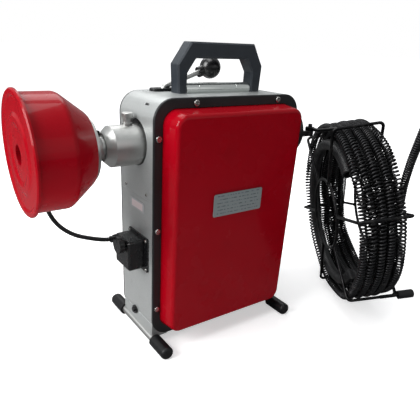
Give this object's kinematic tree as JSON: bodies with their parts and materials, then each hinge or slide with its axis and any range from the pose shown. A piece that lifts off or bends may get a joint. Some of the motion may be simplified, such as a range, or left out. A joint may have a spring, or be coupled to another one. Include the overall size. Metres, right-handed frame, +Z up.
{
  "type": "drain snake machine",
  "caption": "Upright drain cleaning machine with a front cable drum, a clutch lever under the handle, red side covers and a coil of drain cable in a wire carrier.",
  "frame": {"origin": "floor level under the middle of the whole footprint, carrier and coiled cord included", "axes": "+X from the drum towards the rear guide along the spindle, +Y towards the far side cover, +Z up"},
  "size_m": [0.7995, 0.5767, 0.529],
  "materials": {
    "frame_cast": "satin powder on cast aluminium",
    "black_bezel": "satin black",
    "red_paint": "gloss red",
    "screw_steel": "bright zinc",
    "plate": "brushed plate",
    "handle_plastic": "textured slate",
    "chrome": "polished",
    "turned_steel": "turned",
    "dark_steel": "oiled",
    "ball_black": "gloss",
    "rubber": "matt",
    "black_plastic": "fine texture",
    "cast_black": "black paint",
    "bronze": "plain bearing",
    "bearing": "ground",
    "motor_alu": "cast",
    "lamination": "laminated",
    "cable_wire": "black oxide",
    "cage_wire": "black powder",
    "pulley": "machined"
  },
  "bodies": {
    "machine": {"frame_ring": "frame_cast", "left_bezel": "black_bezel", "right_bezel": "black_bezel", "left_cover": "red_paint", "right_cover": "red_paint", "pan_screws": "screw_steel", "rating_plates": "plate", "carry_handle": "handle_plastic", "handle_bolts": "screw_steel", "top_bar": "chrome", "lever_gaiter": "rubber", "bearing_housings": "cast_black", "nose_barrel": "turned_steel", "lock_pin_housing": "turned_steel", "lock_pin_spring": "dark_steel", "drum_sleeve": "bronze", "spindle_bearing_outer": "bearing", "drive_belt": "rubber", "motor_casing": "motor_alu", "motor_stator": "lamination", "motor_cradle": "dark_steel", "start_capacitor": "black_plastic", "switch_box": "black_plastic", "power_cord": "rubber", "power_plug": "black_plastic", "overload_breaker": "black_plastic", "foot_bars": "turned_steel", "foot_caps": "rubber", "rear_collar": "cast_black", "hose_nipple": "turned_steel"},
    "lever": {"lever_shaft": "dark_steel", "shift_fork": "dark_steel", "clutch_lever": "turned_steel", "lever_ball": "ball_black"},
    "spindle_group": {"spindle": "dark_steel", "spindle_bearing_inner": "bearing", "spindle_pulley": "pulley", "drum_bowl": "red_paint", "drum_front": "red_paint", "drum_flange": "turned_steel", "drum_bolts": "screw_steel", "drum_cable": "cable_wire"},
    "collar": {"shift_collar": "dark_steel", "release_bearing_outer": "bearing"},
    "cone": {"clamp_cone": "dark_steel", "release_bearing_inner": "bearing"},
    "jaw_1": {"clutch_jaw_1": "dark_steel"},
    "jaw_2": {"clutch_jaw_2": "dark_steel"},
    "jaw_3": {"clutch_jaw_3": "dark_steel"},
    "rotor": {"motor_rotor": "lamination", "motor_pulley": "pulley", "cooling_fan": "black_plastic"},
    "pin": {"lock_pin": "turned_steel"},
    "knob": {"switch_knob": "black_plastic"},
    "button": {"reset_button": "black_plastic"},
    "carrier": {"carrier_frame": "cage_wire", "carrier_caps": "rubber", "drain_cables": "cable_wire", "guide_hose": "rubber", "cable_coupling": "turned_steel"}
  },
  "joints": [
    {"name": "spindle_spin", "type": "hinge", "parent": "machine", "child": "spindle_group", "pos_m": [-0.0588, -0.0056, 0.371], "axis": [1, 0, 0], "continuous": true},
    {"name": "motor_spin", "type": "hinge", "parent": "machine", "child": "rotor", "pos_m": [-0.1108, -0.0056, 0.088], "axis": [1, 0, 0], "continuous": true},
    {"name": "clutch_lever", "type": "hinge", "parent": "machine", "child": "lever", "pos_m": [-0.1428, -0.0056, 0.428], "axis": [0, -1, 0], "range_deg": [0, 22]},
    {"name": "collar_slide", "type": "slide", "parent": "machine", "child": "collar", "axis": [1, 0, 0], "range_m": [0, 0.0218]},
    {"name": "cone_slide", "type": "slide", "parent": "spindle_group", "child": "cone", "axis": [1, 0, 0], "range_m": [0, 0.0218]},
    {"name": "jaw_1_open", "type": "slide", "parent": "spindle_group", "child": "jaw_1", "axis": [0, 0, 1], "range_m": [0, 0.00301]},
    {"name": "jaw_2_open", "type": "slide", "parent": "spindle_group", "child": "jaw_2", "axis": [0, -0.866, -0.5], "range_m": [0, 0.00301]},
    {"name": "jaw_3_open", "type": "slide", "parent": "spindle_group", "child": "jaw_3", "axis": [0, 0.866, -0.5], "range_m": [0, 0.00301]},
    {"name": "lock_pin_pull", "type": "slide", "parent": "machine", "child": "pin", "axis": [0, 0, 1], "range_m": [0, 0.005], "stiffness_N_per_m": 400, "springref_m": -0.004, "deforming": ["lock_pin_spring"]},
    {"name": "switch_turn", "type": "hinge", "parent": "machine", "child": "knob", "pos_m": [-0.2488, -0.0206, 0.203], "axis": [1, 0, 0], "range_deg": [-45, 45]},
    {"name": "reset_press", "type": "slide", "parent": "machine", "child": "button", "axis": [1, 0, 0], "range_m": [0, 0.003], "stiffness_N_per_m": 300, "springref_m": -0.001},
    {"name": "carrier_swing", "type": "hinge", "parent": "machine", "child": "carrier", "pos_m": [0.1632, -0.0416, 0.379], "axis": [0, 0, 1], "range_deg": [-12, 10]}
  ],
  "couplings": [
    {"joint": "motor_spin", "follows": "spindle_spin", "ratio": 3.2},
    {"joint": "collar_slide", "follows": "clutch_lever", "m_per_rad": 0.05665},
    {"joint": "cone_slide", "follows": "clutch_lever", "m_per_rad": 0.05665},
    {"joint": "jaw_1_open", "follows": "clutch_lever", "m_per_rad": 0.0078131},
    {"joint": "jaw_2_open", "follows": "clutch_lever", "m_per_rad": 0.0078131},
    {"joint": "jaw_3_open", "follows": "clutch_lever", "m_per_rad": 0.0078131}
  ]
}
